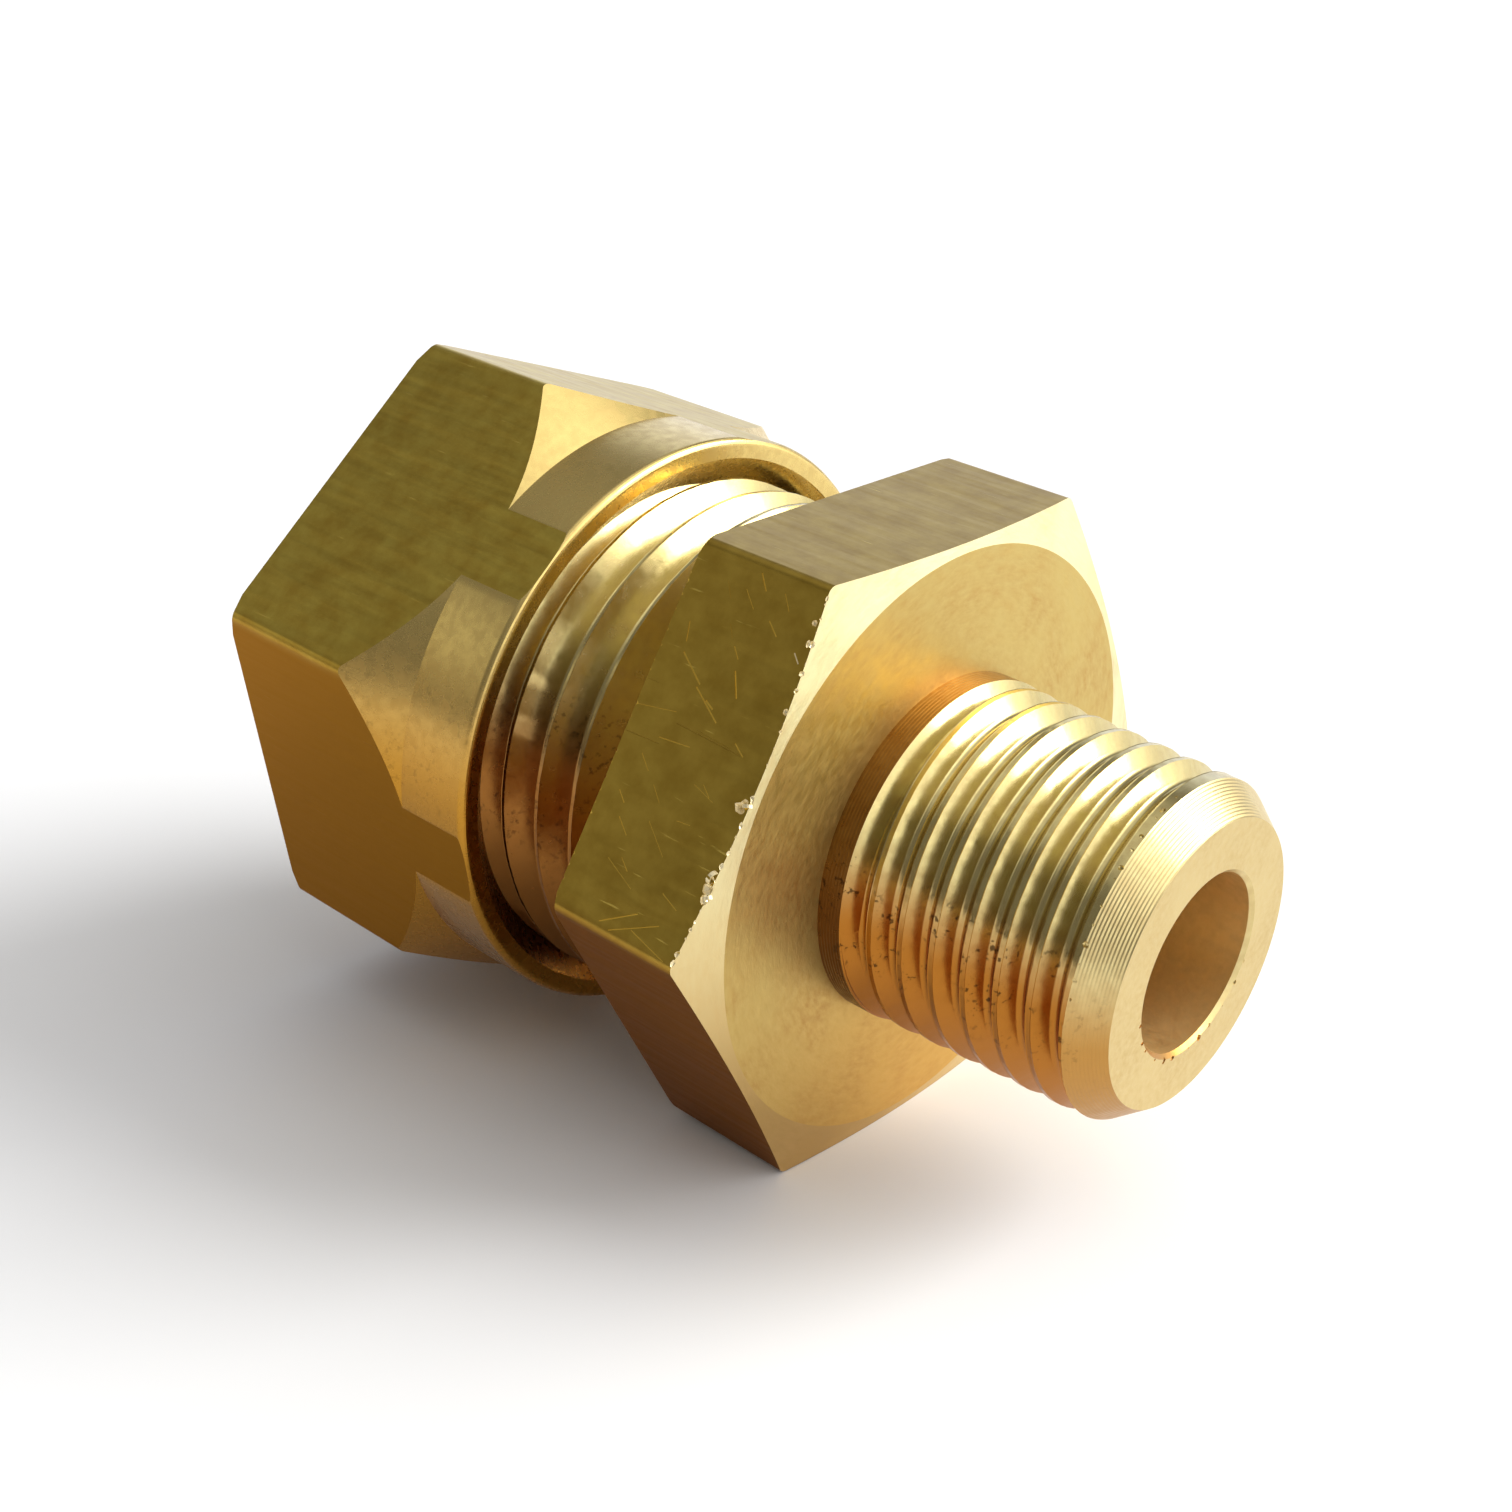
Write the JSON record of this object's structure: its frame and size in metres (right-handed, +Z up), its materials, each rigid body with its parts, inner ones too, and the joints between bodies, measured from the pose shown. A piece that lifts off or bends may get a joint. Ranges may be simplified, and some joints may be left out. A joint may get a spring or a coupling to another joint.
{
  "type": "compression tube fitting",
  "caption": "Straight brass male adaptor: hexagon body with a taper-threaded stem and through bore, and a hexagon compression nut with an olive that grips a plain tube.",
  "frame": {"origin": "on the axis, in the plane of the front face of the body's hexagon flange, where the tapered stem begins", "axes": "+X along the axis, towards the tapered stem; +Z up, square to the flange's top and bottom flats; the compression nut is on the -X side"},
  "size_m": [0.0371, 0.0276, 0.027],
  "materials": {
    "body_brass": "turned, with the drawn bar's satin flats",
    "nut_brass": "satin, turned collar and drawn flats",
    "olive_brass": "bright turned"
  },
  "bodies": {
    "fitting_body": {"fitting_body": "body_brass"},
    "olive": {"olive": "olive_brass"},
    "compression_nut": {"compression_nut": "nut_brass"}
  },
  "joints": [
    {"name": "nut_travel", "type": "slide", "parent": "fitting_body", "child": "olive", "axis": [1, 0, 0], "range_m": [-0.00202, 0.00056]},
    {"name": "nut_turn", "type": "hinge", "parent": "olive", "child": "compression_nut", "pos_m": [-0.0193, 0, 0], "axis": [1, 0, 0], "range_deg": [-400, 110]}
  ],
  "couplings": [
    {"joint": "nut_travel", "follows": "nut_turn", "m_per_rad": 0.00028871}
  ]
}
